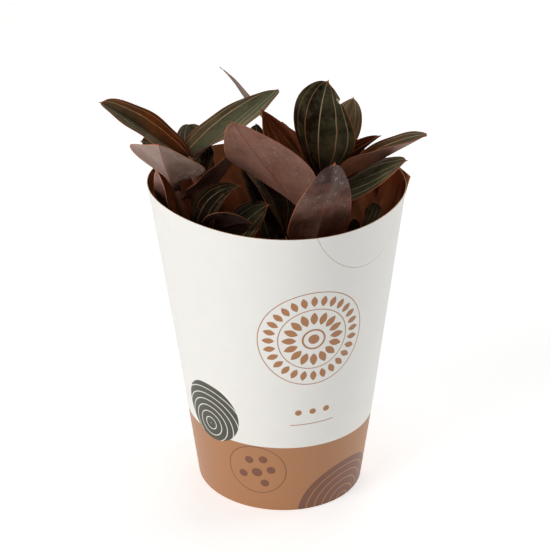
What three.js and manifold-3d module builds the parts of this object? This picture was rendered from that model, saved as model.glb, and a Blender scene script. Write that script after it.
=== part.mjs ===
// Jewel orchid (Ludisia discolor) in a grower's pot inside a rolled card sleeve.
// Millimetres, +Z up, origin at the centre of the pot's underside, front towards -Y.

import * as THREE from 'three';
import { mergeVertices } from 'three/addons/utils/BufferGeometryUtils.js';
import Module from 'manifold-3d';

const wasm = await Module();
wasm.setup();

const V = THREE.Vector3;
const rad = THREE.MathUtils.degToRad;
const lerp = THREE.MathUtils.lerp;
const clamp = THREE.MathUtils.clamp;

const TOUCH_GAP = 0.3; // left between pieces that touch

// Card sleeve: a cone that turns slightly three-sided towards its rim and leans to the left front.
const SLEEVE_HEIGHT = 204;
const SLEEVE_BASE_RADIUS = 54;
const SLEEVE_RIM_RADIUS = 79;
const SLEEVE_LEAN_X = -5.5;
const SLEEVE_LEAN_Y = -4.5;
const SLEEVE_ROUND_UP_TO = 60; // height where the round foot starts to turn out of round
const SLEEVE_LOBE_ANGLE = rad(40);
const SLEEVE_OVAL = 0.02;
const SLEEVE_LOBES = 0.04;
const CARD = 0.6;
const SEAM_ANGLE = rad(13); // free edge of the outer layer, measured from +X
const SEAM_OVERLAP = rad(24);
const SEAM_FLARE = 3; // how far the free corner stands off at the rim
const SEAM_FLARE_SPAN = rad(12);
const SLEEVE_STEPS = 72;

// Grower's pot, 12 cm across the rim.
const POT_HEIGHT = 96;
const POT_BASE_RADIUS = 43;
const POT_RIM_RADIUS = 60;
const POT_WALL = 1.2;
const POT_RIM_BAND = 7; // height of the stepped rim
const POT_RIM_STEP = 2.6;
const POT_SIDES = 48;
const DRAIN_HOLES = 8;
const DRAIN_HOLE_RADIUS = 4.5;
const DRAIN_CIRCLE = 30;

// Potting mix.
const SOIL_TOP = 86;
const SOIL_LUMP = 1.4;
const SOIL_SIDES = 36;
const SOIL_RINGS = 7;

// Shoots.
const STEM_FOOT_Z = 58;
const STEM_BEND_Z = 90; // a stem stands upright up to here
const STEM_FOOT_RADIUS = 3.3;
const STEM_TOP_RADIUS = 2.5;
const STEM_NODE_SWELL = 0.5;
const STEM_SIDES = 8;
const STEM_STEPS = 12;
const PETIOLE_SHARE = 0.18; // of a leaf's length
const PETIOLE_HALF_WIDTH = 2.6;
const PETIOLE_THICKNESS = 2.2;
const BLADE_THICKNESS = 0.8;
const BLADE_CAMBER = 0.22;
const LEAF_TIP_HALF_WIDTH = 0.4;
const LEAF_STEPS = 10;
const LEAF_COLUMNS = 4;

const card = new THREE.MeshStandardMaterial({ color: '#f1eee8', roughness: 0.55, metalness: 0 });
const potPlastic = new THREE.MeshStandardMaterial({ color: '#33261f', roughness: 0.5, metalness: 0 });
const pottingMix = new THREE.MeshStandardMaterial({ color: '#3a2a1e', roughness: 0.95, metalness: 0 });
const foliage = new THREE.MeshStandardMaterial({ color: '#4a3d2c', roughness: 0.42, metalness: 0 });

function toSolid(geometry) {
  const bare = geometry.index ? geometry.clone() : geometry;
  bare.deleteAttribute('normal');
  bare.deleteAttribute('uv');
  const merged = mergeVertices(bare, 1e-4);
  return new wasm.Manifold(new wasm.Mesh({
    numProp: 3,
    vertProperties: new Float32Array(merged.attributes.position.array),
    triVerts: new Uint32Array(merged.index.array),
  }));
}

function toMesh(name, solid, material) {
  const { vertProperties, triVerts } = solid.getMesh();
  const geometry = new THREE.BufferGeometry();
  geometry.setAttribute('position', new THREE.BufferAttribute(vertProperties, 3));
  geometry.setIndex(new THREE.BufferAttribute(triVerts, 1));
  geometry.computeVertexNormals();
  const mesh = new THREE.Mesh(geometry, material);
  mesh.name = name;
  return mesh;
}

const sum = (solids) => solids.reduce((whole, part) => whole.add(part));

// A closed solid between two faces of a grid: point(u, v, side) gives the upper face for side 1 and
// the lower one for side -1. Both faces are split into triangles alike.
function slab(us, vs, point) {
  const columns = vs.length;
  const faceSize = us.length * columns;
  const positions = [];
  for (const side of [1, -1]) {
    for (const u of us) {
      for (const v of vs) positions.push(...point(u, v, side).toArray());
    }
  }
  const at = (i, j, side) => i * columns + j + (side > 0 ? 0 : faceSize);
  const triangles = [];
  const quad = (a, b, c, d) => triangles.push(a, b, c, a, c, d);
  const lastRow = us.length - 1;
  const lastColumn = columns - 1;
  for (let i = 0; i < lastRow; i += 1) {
    for (let j = 0; j < lastColumn; j += 1) {
      quad(at(i, j, 1), at(i + 1, j, 1), at(i + 1, j + 1, 1), at(i, j + 1, 1));
      const below = [at(i, j, -1), at(i + 1, j, -1), at(i + 1, j + 1, -1), at(i, j + 1, -1)];
      triangles.push(below[2], below[1], below[0], below[3], below[2], below[0]);
    }
    quad(at(i, 0, 1), at(i, 0, -1), at(i + 1, 0, -1), at(i + 1, 0, 1));
    quad(at(i + 1, lastColumn, 1), at(i + 1, lastColumn, -1), at(i, lastColumn, -1), at(i, lastColumn, 1));
  }
  for (let j = 0; j < lastColumn; j += 1) {
    quad(at(0, j + 1, 1), at(0, j + 1, -1), at(0, j, -1), at(0, j, 1));
    quad(at(lastRow, j, 1), at(lastRow, j, -1), at(lastRow, j + 1, -1), at(lastRow, j + 1, 1));
  }
  const geometry = new THREE.BufferGeometry();
  geometry.setAttribute('position', new THREE.Float32BufferAttribute(positions, 3));
  geometry.setIndex(triangles);
  return toSolid(geometry);
}

const range = (from, to, steps) => Array.from({ length: steps + 1 }, (_, i) => lerp(from, to, i / steps));

// A point of the sleeve's outer face, moved outwards by offset.
function sleevePoint(angle, z, offset) {
  const height = z / SLEEVE_HEIGHT;
  const outOfRound = clamp((z - SLEEVE_ROUND_UP_TO) / (SLEEVE_HEIGHT - SLEEVE_ROUND_UP_TO), 0, 1);
  const turned = angle - SLEEVE_LOBE_ANGLE;
  const lobes = SLEEVE_OVAL * Math.cos(2 * turned) + SLEEVE_LOBES * Math.cos(3 * turned);
  const radius = lerp(SLEEVE_BASE_RADIUS, SLEEVE_RIM_RADIUS, height) * (1 + outOfRound * lobes) + offset;
  return new V(
    SLEEVE_LEAN_X * height + radius * Math.cos(angle),
    SLEEVE_LEAN_Y * height + radius * Math.sin(angle),
    z,
  );
}

// The card runs clockwise from under the seam, once around, and over its own start.
function cardSleeve() {
  const start = SEAM_ANGLE + SEAM_OVERLAP;
  const turn = 2 * Math.PI + SEAM_OVERLAP;
  const layerStep = CARD + TOUCH_GAP;
  const heights = [SLEEVE_HEIGHT, 190, 175, 150, 110, SLEEVE_ROUND_UP_TO, 0];
  const face = (along, z, side) => {
    const travelled = along * turn;
    const underLap = clamp(1 - (travelled - SEAM_OVERLAP) / SEAM_OVERLAP, 0, 1);
    const nearEdge = clamp(1 - (turn - travelled) / SEAM_FLARE_SPAN, 0, 1);
    const flare = SEAM_FLARE * nearEdge ** 1.5 * (z / SLEEVE_HEIGHT) ** 10;
    const outer = flare - layerStep * underLap;
    return sleevePoint(start - travelled, z, side > 0 ? outer : outer - CARD);
  };
  return slab(range(0, 1, SLEEVE_STEPS), heights, face);
}

function lathe(profile, sides) {
  const geometry = new THREE.LatheGeometry(profile.map(([r, z]) => new THREE.Vector2(r, z)), sides);
  geometry.rotateX(Math.PI / 2);
  return geometry;
}

function upright(radius, fromZ, toZ, x, y, sides) {
  const geometry = new THREE.CylinderGeometry(radius, radius, toZ - fromZ, sides);
  geometry.rotateX(Math.PI / 2);
  geometry.translate(x, y, (fromZ + toZ) / 2);
  return toSolid(geometry);
}

const bandFoot = POT_HEIGHT - POT_RIM_BAND;
const wallTopRadius = POT_RIM_RADIUS - POT_RIM_STEP;
const potWallRadius = (z) => lerp(POT_BASE_RADIUS, wallTopRadius, z / bandFoot) - POT_WALL;

function growerPot() {
  const bandInner = POT_RIM_RADIUS - POT_WALL;
  const pot = toSolid(lathe([
    [0, 0],
    [POT_BASE_RADIUS, 0],
    [wallTopRadius, bandFoot],
    [POT_RIM_RADIUS, bandFoot],
    [POT_RIM_RADIUS, POT_HEIGHT],
    [bandInner, POT_HEIGHT],
    [bandInner, bandFoot + POT_WALL],
    [potWallRadius(bandFoot), bandFoot + POT_WALL],
    [potWallRadius(POT_WALL), POT_WALL],
    [0, POT_WALL],
  ], POT_SIDES));
  const holes = range(0, 2 * Math.PI, DRAIN_HOLES).slice(1).map((angle) => {
    const x = DRAIN_CIRCLE * Math.cos(angle);
    const y = DRAIN_CIRCLE * Math.sin(angle);
    return upright(DRAIN_HOLE_RADIUS, -1, POT_WALL + 1, x, y, 12);
  });
  return pot.subtract(sum(holes));
}

function substrate(shoots) {
  const floor = POT_WALL + TOUCH_GAP;
  const topRadius = potWallRadius(SOIL_TOP) - TOUCH_GAP;
  const rings = range(topRadius, 0, SOIL_RINGS).map((radius) => [radius, SOIL_TOP]);
  const geometry = lathe([[0, floor], [potWallRadius(floor) - TOUCH_GAP, floor], ...rings], SOIL_SIDES);
  const point = geometry.attributes.position;
  for (let i = 0; i < point.count; i += 1) {
    const x = point.getX(i);
    const y = point.getY(i);
    if (point.getZ(i) > SOIL_TOP - 1 && Math.hypot(x, y) < topRadius - 1) {
      const lump = Math.sin(0.31 * x + 1.3) * Math.cos(0.27 * y) + Math.sin(0.19 * (x + y));
      point.setZ(i, SOIL_TOP + SOIL_LUMP * lump);
    }
  }
  const holes = shoots.map(({ foot }) => upright(
    STEM_FOOT_RADIUS + TOUCH_GAP,
    STEM_FOOT_Z - TOUCH_GAP,
    STEM_BEND_Z + 5,
    foot[0],
    foot[1],
    12,
  ));
  return toSolid(geometry).subtract(sum(holes));
}

// Each stem stands upright in the mix, then arches from its foot past its bend to its top.
// A leaf leaves it at the share "on" of the arch. Bearing is its compass direction from +X towards
// +Y, rise its climb at the stem, droop how much of that it loses by the tip, swerve its sideways
// bend, fold the V of its blade and roll its turn about its own length, all in degrees.
const shootTable = [
  {
    name: 'shoot_left', foot: [-26, 10], bend: [-40, 14, 150], top: [-60, 6, 212],
    leaves: [
      { on: 1, bearing: 152, rise: 44, droop: 42, swerve: 10, length: 75, width: 31, fold: 5, roll: 0 },
      { on: 1, bearing: 28, rise: 46, droop: 28, swerve: -8, length: 76, width: 40, fold: 12, roll: -4 },
      { on: 0.93, bearing: 104, rise: 28, droop: 22, length: 51, width: 26, fold: 16, roll: 0 },
      { on: 0.86, bearing: -18, rise: 80, droop: 20, length: 26, width: 20, fold: 12, roll: 0 },
    ],
  },
  {
    name: 'shoot_centre', foot: [8, 14], bend: [12, 18, 150], top: [22, 6, 200],
    leaves: [
      { on: 1, bearing: 92, rise: 104, droop: 14, length: 73, width: 39, fold: 8, roll: -4 },
      { on: 0.97, bearing: 65, rise: 70, droop: 38, length: 64, width: 32, fold: 15, roll: -10 },
      { on: 0.96, bearing: 11, rise: 51, droop: 11, length: 49, width: 12, fold: 50, roll: 0 },
      { on: 0.96, bearing: -4, rise: 50, droop: 33, swerve: 8, length: 75, width: 36, fold: 24, roll: -34 },
      { on: 0.93, bearing: -26, rise: 33, droop: 4, length: 64, width: 36, fold: 4, roll: 16 },
      { on: 0.98, bearing: 150, rise: 46, droop: 10, swerve: 14, length: 65, width: 38, fold: 6, roll: 14 },
    ],
  },
  {
    name: 'shoot_back', foot: [2, 36], bend: [4, 42, 150], top: [8, 42, 196],
    leaves: [
      { on: 1, bearing: 155, rise: 52, droop: 12, length: 84, width: 20, fold: 8, roll: 40 },
      { on: 0.95, bearing: 135, rise: 60, droop: 5, length: 36, width: 26, fold: 14, roll: 0 },
      { on: 0.86, bearing: 60, rise: 66, droop: 40, length: 48, width: 28, fold: 12, roll: 0 },
    ],
  },
  {
    name: 'shoot_front', foot: [8, -22], bend: [12, -34, 130], top: [16, -40, 190],
    leaves: [
      { on: 1, bearing: 200, rise: 54, droop: 6, swerve: 8, length: 89, width: 48, fold: 16, roll: 44 },
      { on: 0.86, bearing: 282, rise: 60, droop: 0, swerve: 18, length: 86, width: 38, fold: 2, roll: 6 },
      { on: 0.74, bearing: 70, rise: 62, droop: 40, length: 42, width: 26, fold: 12, roll: 0 },
    ],
  },
  {
    name: 'shoot_inner', foot: [-8, -2], bend: [-10, -6, 130], top: [-2, -12, 168],
    leaves: [
      { on: 1, bearing: 150, rise: 66, droop: 16, length: 60, width: 30, fold: 10, roll: 0 },
      { on: 0.95, bearing: 160, rise: 84, droop: 10, length: 34, width: 22, fold: 12, roll: 0 },
      { on: 0.88, bearing: 165, rise: 64, droop: 48, length: 44, width: 34, fold: 8, roll: 0 },
    ],
  },
  {
    name: 'shoot_side', foot: [-34, -14], bend: [-50, -20, 145], top: [-67, -22, 204],
    leaves: [
      { on: 1, bearing: 256, rise: 60, droop: 14, swerve: 8, length: 58, width: 47, fold: 10, roll: -6 },
      { on: 0.84, bearing: 2, rise: 58, droop: 6, swerve: 6, length: 56, width: 22, fold: 24, roll: -60 },
      { on: 0.88, bearing: 180, rise: 74, droop: 16, length: 33, width: 12, fold: 50, roll: 0 },
    ],
  },
  {
    name: 'shoot_low', foot: [-22, -26], bend: [-34, -34, 130], top: [-52, -38, 180],
    leaves: [
      { on: 1, bearing: 12, rise: 88, droop: 72, length: 46, width: 26, fold: 14, roll: 20 },
      { on: 0.98, bearing: -14, rise: 56, droop: 54, length: 42, width: 28, fold: 10, roll: -40 },
      { on: 0.8, bearing: -60, rise: 50, droop: 30, length: 34, width: 22, fold: 12, roll: 0 },
    ],
  },
  {
    name: 'shoot_right', foot: [30, -6], bend: [38, -8, 130], top: [44, -10, 172],
    leaves: [
      { on: 1, bearing: 58, rise: 47, droop: 12, length: 30, width: 25, fold: 10, roll: 0 },
      { on: 0.94, bearing: -80, rise: 58, droop: 22, length: 36, width: 24, fold: 10, roll: 0 },
      { on: 0.8, bearing: -30, rise: 60, droop: 40, length: 34, width: 22, fold: 12, roll: 0 },
    ],
  },
  {
    name: 'shoot_rear_left', foot: [-22, 34], bend: [-28, 38, 140], top: [-40, 38, 188],
    leaves: [
      { on: 1, bearing: 175, rise: 56, droop: 52, length: 54, width: 26, fold: 12, roll: 0 },
      { on: 0.95, bearing: 80, rise: 68, droop: 40, length: 44, width: 28, fold: 12, roll: 0 },
      { on: 0.84, bearing: -20, rise: 46, droop: 30, length: 40, width: 24, fold: 12, roll: 0 },
    ],
  },
  {
    name: 'shoot_rear_right', foot: [32, 24], bend: [36, 30, 140], top: [44, 30, 176],
    leaves: [
      { on: 1, bearing: 60, rise: 70, droop: 30, length: 44, width: 28, fold: 12, roll: 0 },
      { on: 0.95, bearing: 105, rise: 66, droop: 36, length: 40, width: 24, fold: 12, roll: 0 },
      { on: 0.86, bearing: -50, rise: 56, droop: 40, length: 36, width: 24, fold: 12, roll: 0 },
    ],
  },
];

const footPoint = ({ foot }) => new V(foot[0], foot[1], STEM_BEND_Z);
const archOf = (shoot) => new THREE.QuadraticBezierCurve3(
  footPoint(shoot),
  new V(...shoot.bend),
  new V(...shoot.top),
);

function leafDirection({ bearing, rise, droop, swerve = 0 }, along) {
  const climb = rad(rise - droop * along);
  const heading = rad(bearing + swerve * (along - 0.5));
  return {
    heading,
    forward: new V(
      Math.cos(climb) * Math.cos(heading),
      Math.cos(climb) * Math.sin(heading),
      Math.sin(climb),
    ),
  };
}

// Half the width at a share of the length: a narrow stalk that opens into a pointed oval blade.
function leafHalfWidth(leaf, along) {
  if (along === 1) return LEAF_TIP_HALF_WIDTH;
  const bladeStart = 0.7 * PETIOLE_SHARE;
  const onBlade = clamp((along - bladeStart) / (1 - bladeStart), 0, 1);
  const oval = (leaf.width / 2) * Math.sin(Math.PI * onBlade ** 0.92) ** 0.82;
  return Math.hypot(oval, PETIOLE_HALF_WIDTH * (1 - onBlade));
}

function leafSolid(leaf, root) {
  const stations = range(0, 1, LEAF_STEPS);
  const spine = [root.clone()];
  for (let i = 1; i <= LEAF_STEPS; i += 1) {
    const middle = (stations[i - 1] + stations[i]) / 2;
    const step = leafDirection(leaf, middle).forward.multiplyScalar(leaf.length / LEAF_STEPS);
    spine.push(spine[i - 1].clone().add(step));
  }
  const point = (along, across, side) => {
    const { heading, forward } = leafDirection(leaf, along);
    const level = new V(-Math.sin(heading), Math.cos(heading), 0);
    const turned = rad(leaf.roll) * Math.min(1, along / PETIOLE_SHARE);
    const sideways = level.clone().applyAxisAngle(forward, turned);
    const normal = new V().crossVectors(forward, sideways);
    const half = leafHalfWidth(leaf, along);
    const fold = rad(leaf.fold);
    const raised = Math.sin(fold) * Math.abs(across) - BLADE_CAMBER * across ** 2;
    const stalk = clamp(1 - along / (1.3 * PETIOLE_SHARE), 0, 1) ** 2;
    const thickness = lerp(BLADE_THICKNESS, PETIOLE_THICKNESS, stalk);
    return spine[Math.round(along * LEAF_STEPS)].clone()
      .addScaledVector(sideways, half * across * Math.cos(fold))
      .addScaledVector(normal, half * raised + (side * thickness) / 2);
  };
  return slab(stations, range(-1, 1, LEAF_COLUMNS), point);
}

// A round stem that swells at each leaf and closes to a blunt tip just past its top leaf.
function stemSolid(shoot) {
  const arch = archOf(shoot);
  const top = arch.getPoint(1);
  const rings = [{ at: new V(shoot.foot[0], shoot.foot[1], STEM_FOOT_Z), radius: STEM_FOOT_RADIUS }];
  for (const share of range(0, 1, STEM_STEPS)) {
    const nearest = Math.min(...shoot.leaves.map(({ on }) => Math.abs(on - share)));
    const swell = STEM_NODE_SWELL * Math.exp(-((nearest / 0.04) ** 2));
    rings.push({ at: arch.getPoint(share), radius: lerp(STEM_FOOT_RADIUS, STEM_TOP_RADIUS, share) + swell });
  }
  rings.push({ at: top.clone().addScaledVector(arch.getTangent(1), 5), radius: 0.8 });
  const point = (ring, turn) => {
    const { at, radius } = rings[ring];
    const before = rings[Math.max(0, ring - 1)].at;
    const after = rings[Math.min(rings.length - 1, ring + 1)].at;
    const forward = after.clone().sub(before).normalize();
    const across = new V(0, 1, 0).cross(forward).normalize();
    const outward = across.applyAxisAngle(forward, turn * 2 * Math.PI);
    return at.clone().addScaledVector(outward, radius);
  };
  const positions = [];
  rings.forEach((_, ring) => {
    for (let i = 0; i < STEM_SIDES; i += 1) positions.push(...point(ring, i / STEM_SIDES).toArray());
  });
  const triangles = [];
  const last = (rings.length - 1) * STEM_SIDES;
  for (let i = 0; i < STEM_SIDES; i += 1) {
    const next = (i + 1) % STEM_SIDES;
    for (let ring = 0; ring < rings.length - 1; ring += 1) {
      const low = ring * STEM_SIDES;
      const high = low + STEM_SIDES;
      triangles.push(low + i, low + next, high + next, low + i, high + next, high + i);
    }
    if (i > 0 && next > 0) {
      triangles.push(0, next, i, last, last + i, last + next);
    }
  }
  const geometry = new THREE.BufferGeometry();
  geometry.setAttribute('position', new THREE.Float32BufferAttribute(positions, 3));
  geometry.setIndex(triangles);
  return toSolid(geometry);
}

function shootSolid(shoot) {
  const arch = archOf(shoot);
  const leaves = shoot.leaves.map((leaf) => leafSolid(leaf, arch.getPoint(leaf.on)));
  return sum([stemSolid(shoot), ...leaves]);
}

const group = new THREE.Group();
group.add(toMesh('card_sleeve', cardSleeve(), card));
group.add(toMesh('grower_pot', growerPot(), potPlastic));
group.add(toMesh('substrate', substrate(shootTable), pottingMix));
for (const shoot of shootTable) {
  group.add(toMesh(shoot.name, shootSolid(shoot), foliage));
}

export default group;
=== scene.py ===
"""Jewel orchid in its grower's pot and rolled card sleeve: the looks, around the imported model."""

import random
from math import cos, exp, hypot, log, pi, radians, sin

import bmesh
import bpy
from mathutils import Matrix, Vector, noise


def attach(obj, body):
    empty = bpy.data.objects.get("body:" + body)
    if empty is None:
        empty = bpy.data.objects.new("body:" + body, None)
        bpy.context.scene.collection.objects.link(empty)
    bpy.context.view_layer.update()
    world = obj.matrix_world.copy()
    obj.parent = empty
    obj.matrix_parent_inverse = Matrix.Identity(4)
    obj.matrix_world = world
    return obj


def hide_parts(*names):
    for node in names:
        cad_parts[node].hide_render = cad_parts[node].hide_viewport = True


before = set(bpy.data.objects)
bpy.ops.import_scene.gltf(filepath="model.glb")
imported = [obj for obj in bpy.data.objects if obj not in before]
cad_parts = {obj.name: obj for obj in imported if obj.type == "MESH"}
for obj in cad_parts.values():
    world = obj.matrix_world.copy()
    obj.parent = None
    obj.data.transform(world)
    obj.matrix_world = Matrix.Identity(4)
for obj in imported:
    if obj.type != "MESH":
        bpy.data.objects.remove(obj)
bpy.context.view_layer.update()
scene = bpy.context.scene

# --- The view -------------------------------------------------------------------------------------
# A long lens looks down on the front of the sleeve, turned a degree and a half. The plant stands on a
# pale table in a white room. The key lamp is at the front left, with weaker ones right, behind and above.

VIEW_HEIGHT = radians(25.93)
VIEW_TURN = radians(1.58)
VIEW_DISTANCE = 0.988
VIEW_TARGET = Vector((-0.0058, 0, 0.1394))
LENS_LENGTH = 102.1
LENS_SENSOR = 36
LAMP_TARGET = Vector((0, 0, 0.17))
ROOM_LIGHT = 0.1
TABLE_REACH = 4
TABLE_GLOW = 0.6

lens = bpy.data.cameras.new("view_lens")
lens.lens = LENS_LENGTH
lens.sensor_width = LENS_SENSOR
camera = bpy.data.objects.new("view_camera", lens)
camera.matrix_world = (
    Matrix.Translation(VIEW_TARGET)
    @ Matrix.Rotation(pi / 2 - VIEW_HEIGHT, 4, "X")
    @ Matrix.Rotation(VIEW_TURN, 4, "Z")
    @ Matrix.Translation((0, 0, VIEW_DISTANCE))
)
scene.collection.objects.link(camera)
scene.camera = camera
scene.view_settings.view_transform = "Standard"


def lamp(name, place, size, power, colour):
    """A soft square lamp that faces the plant."""
    light = bpy.data.lights.new(name, "AREA")
    light.size = size
    light.energy = power
    light.color = colour
    holder = bpy.data.objects.new(name, light)
    aim = (LAMP_TARGET - Vector(place)).to_track_quat("-Z", "Y")
    holder.matrix_world = Matrix.Translation(place) @ aim.to_matrix().to_4x4()
    scene.collection.objects.link(holder)


lamp("key_lamp", (-1.45, -1.2, 0.85), size=0.9, power=16, colour=(1, 0.985, 0.96))
lamp("side_lamp", (1.6, 0.6, 0.7), size=0.8, power=7, colour=(1, 0.99, 0.97))
lamp("back_lamp", (0.2, 1.6, 0.9), size=1.2, power=5, colour=(1, 0.995, 0.98))
lamp("top_lamp", (0.1, 0.2, 1.8), size=1.4, power=3.4, colour=(1, 0.995, 0.98))

room = bpy.data.worlds.new("white_room")
room.use_nodes = True
backdrop = room.node_tree.nodes["Background"].inputs
backdrop["Color"].default_value = (1, 1, 1, 1)
backdrop["Strength"].default_value = ROOM_LIGHT
scene.world = room


def link_mesh(name, bm):
    """Turns a bmesh into a smooth object of the scene."""
    mesh = bpy.data.meshes.new(name)
    bm.to_mesh(mesh)
    bm.free()
    mesh.shade_smooth()
    piece = bpy.data.objects.new(name, mesh)
    scene.collection.objects.link(piece)
    return piece


bm = bmesh.new()
bmesh.ops.create_grid(bm, x_segments=1, y_segments=1, size=TABLE_REACH)
table_top = link_mesh("table_top", bm)
table_paint = bpy.data.materials.new("table_paint")
table_paint.use_nodes = True
shader = table_paint.node_tree.nodes["Principled BSDF"].inputs
shader["Base Color"].default_value = (0.93, 0.93, 0.925, 1)
shader["Roughness"].default_value = 0.6
shader["Emission Color"].default_value = (1, 1, 1, 1)
shader["Emission Strength"].default_value = TABLE_GLOW
table_top.data.materials.append(table_paint)

# --- The card sleeve ------------------------------------------------------------------------------
# One blank of white coated card, copper inside, rolled into a cone with its ends lapped and glued at
# the right. It goes slightly three-sided towards the rim, and the free corner of the lap stands off.

CARD_HEIGHT = 0.204
CARD_FOOT_RADIUS = 0.054
CARD_RIM_RADIUS = 0.079
CARD_WIDENING = CARD_RIM_RADIUS - CARD_FOOT_RADIUS
CARD_LEAN = (-0.0055, -0.0045)  # how far the rim's middle stands off the foot's
CARD_ROUND_TO = 0.060  # the height up to which it is round
CARD_LOBE_ANGLE = radians(40)
CARD_OVAL = 0.02
CARD_LOBES = 0.04
CARD_THICKNESS = 0.0005
CARD_EDGE_ROUND = 0.00008
CARD_ROWS = 40
CARD_STEPS = 216
LAP_ANGLE = radians(13)
LAP_WIDTH = radians(24)
LAP_STEP = 0.0009
LAP_FLARE = 0.003
LAP_FLARE_SPAN = radians(12)
# Flat, the blank is part of a ring: it spreads over this share of the sleeve's own turn, and its foot
# edge lies this far from the ring's centre.
BLANK_SPREAD = CARD_WIDENING / hypot(CARD_HEIGHT, CARD_WIDENING)
BLANK_FOOT = CARD_FOOT_RADIUS / BLANK_SPREAD


def clamp(value):
    return min(1, max(0, value))


def card_point(angle, z, out):
    """A point of the sleeve's outer face, moved outwards by out."""
    height = z / CARD_HEIGHT
    unround = clamp((z - CARD_ROUND_TO) / (CARD_HEIGHT - CARD_ROUND_TO))
    turned = angle - CARD_LOBE_ANGLE
    lobes = CARD_OVAL * cos(2 * turned) + CARD_LOBES * cos(3 * turned)
    cone = CARD_FOOT_RADIUS + CARD_WIDENING * height
    radius = cone * (1 + unround * lobes) + out
    x = CARD_LEAN[0] * height + radius * cos(angle)
    y = CARD_LEAN[1] * height + radius * sin(angle)
    return Vector((x, y, z))


bm = bmesh.new()
bmesh.ops.create_grid(bm, x_segments=CARD_ROWS, y_segments=CARD_STEPS, size=0.5)
blank = bm.loops.layers.uv.new("blank")
turn = 2 * pi + LAP_WIDTH
start = LAP_ANGLE + LAP_WIDTH
for face in bm.faces:
    for loop in face.loops:
        z = (loop.vert.co.x + 0.5) * CARD_HEIGHT
        angle = start - (loop.vert.co.y + 0.5) * turn
        slant = BLANK_FOOT + z / cos(BLANK_SPREAD)
        opened = (angle + pi / 2) * BLANK_SPREAD
        loop[blank].uv = (slant * sin(opened), slant * cos(opened) - BLANK_FOOT)
for vert in bm.verts:
    z = (vert.co.x + 0.5) * CARD_HEIGHT
    travelled = (vert.co.y + 0.5) * turn
    under = clamp(2 - travelled / LAP_WIDTH)
    near_edge = clamp(1 - (turn - travelled) / LAP_FLARE_SPAN)
    flare = LAP_FLARE * near_edge**1.5 * (z / CARD_HEIGHT) ** 10
    vert.co = card_point(start - travelled, z, flare - LAP_STEP * under)
card_sleeve = link_mesh("rolled_card", bm)
wall = card_sleeve.modifiers.new("card", "SOLIDIFY")
wall.thickness = CARD_THICKNESS
wall.offset = -1
wall.material_offset = 1
wall.material_offset_rim = 2
softened = card_sleeve.modifiers.new("softened", "BEVEL")
softened.width = CARD_EDGE_ROUND
softened.segments = 2
softened.angle_limit = radians(40)
softened.harden_normals = True


def paint(hexcode):
    """A screen colour such as 8a5a3c as linear red, green, blue and alpha."""
    channels = [int(hexcode[i : i + 2], 16) / 255 for i in (0, 2, 4)]
    return [c / 12.92 if c < 0.04045 else ((c + 0.055) / 1.055) ** 2.4 for c in channels] + [1]


class Tone:
    """A socket of a finish. Arithmetic on it adds Math nodes, and node() adds any other node."""

    def __init__(self, tree, socket=None):
        self.tree = tree
        self.socket = socket

    def node(self, kind, inputs=(), out=0, **settings):
        """Adds a node: its settings come first, then the values or links of its sockets."""
        made = self.tree.nodes.new("ShaderNode" + kind)
        for name, value in settings.items():
            setattr(made, name, value)
        for name, value in dict(inputs).items():
            if isinstance(value, Tone):
                self.tree.links.new(value.socket, made.inputs[name])
            else:
                made.inputs[name].default_value = value
        return Tone(self.tree, made.outputs[out])

    def math(self, operation, *values, **settings):
        return self.node("Math", dict(enumerate(values)), operation=operation, **settings)

    def __add__(self, other):
        return self.math("ADD", self, other)

    def __sub__(self, other):
        return self.math("SUBTRACT", self, other)

    def __rsub__(self, other):
        return self.math("SUBTRACT", other, self)

    def __mul__(self, other):
        return self.math("MULTIPLY", self, other)

    def __truediv__(self, other):
        return self.math("DIVIDE", self, other)

    def __pow__(self, other):
        return self.math("POWER", self, other)

    def __abs__(self):
        return self.math("ABSOLUTE", self)

    __radd__ = __add__
    __rmul__ = __mul__

    def clipped(self):
        return self.math("ADD", self, 0.0, use_clamp=True)

    def under(self, limit, soft):
        """1 where the value is under limit, 0 over it, with an edge that is soft wide."""
        return ((limit - self) / soft + 0.5).clipped()

    def either(self, other):
        return self.math("MAXIMUM", self, other)

    def blend(self, first, second):
        """The first colour where this value is 0, the second where it is 1."""
        colours = {0: self, 6: first, 7: second}  # a Mix node's colour sockets have these numbers
        return self.node("Mix", colours, out=2, data_type="RGBA")

    def noise(self, place, scale, detail=3.0, roughness=0.5):
        inputs = {"Vector": place, "Scale": scale, "Detail": detail, "Roughness": roughness}
        return self.node("TexNoise", inputs)


def finish(name):
    """A new material, its Principled shader's inputs and a Tone that adds nodes to it."""
    material = bpy.data.materials.new(name)
    material.use_nodes = True
    tree = material.node_tree
    return material, tree.nodes["Principled BSDF"].inputs, Tone(tree)


def feed(inputs, name, tone):
    tone.tree.links.new(tone.socket, inputs[name])


def bumped(tone, height, strength, distance):
    """A normal roughened by a height."""
    return tone.node("Bump", {"Height": height, "Strength": strength, "Distance": distance})


EDGE = 0.00018  # softness of a printed edge
COPPER_INK = paint("b47c50")
BROWN_INK = paint("7e4c34")
OLIVE_INK = paint("45463a")
PALE_INK = paint("e9e4d8")

card_white, shader, tone = finish("coated_card")
flat = tone.node("UVMap", uv_map="blank")
across = flat.node("SeparateXYZ", {"Vector": flat}, out="X")
along = flat.node("SeparateXYZ", {"Vector": flat}, out="Y")
slant = (across**2 + (along + BLANK_FOOT) ** 2) ** 0.5 - BLANK_FOOT
mottle = tone.noise(flat, 90.0)
fibre = tone.noise(flat, 2200.0, 4.0)
white = mottle.blend(paint("f3f1ec"), paint("f8f6f2"))


def offset_from(centre):
    """Sideways and upward distance from a point of the blank."""
    return across - centre[0], along - centre[1]


def distance_from(centre):
    sideways, upward = offset_from(centre)
    return (sideways**2 + upward**2) ** 0.5


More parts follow.
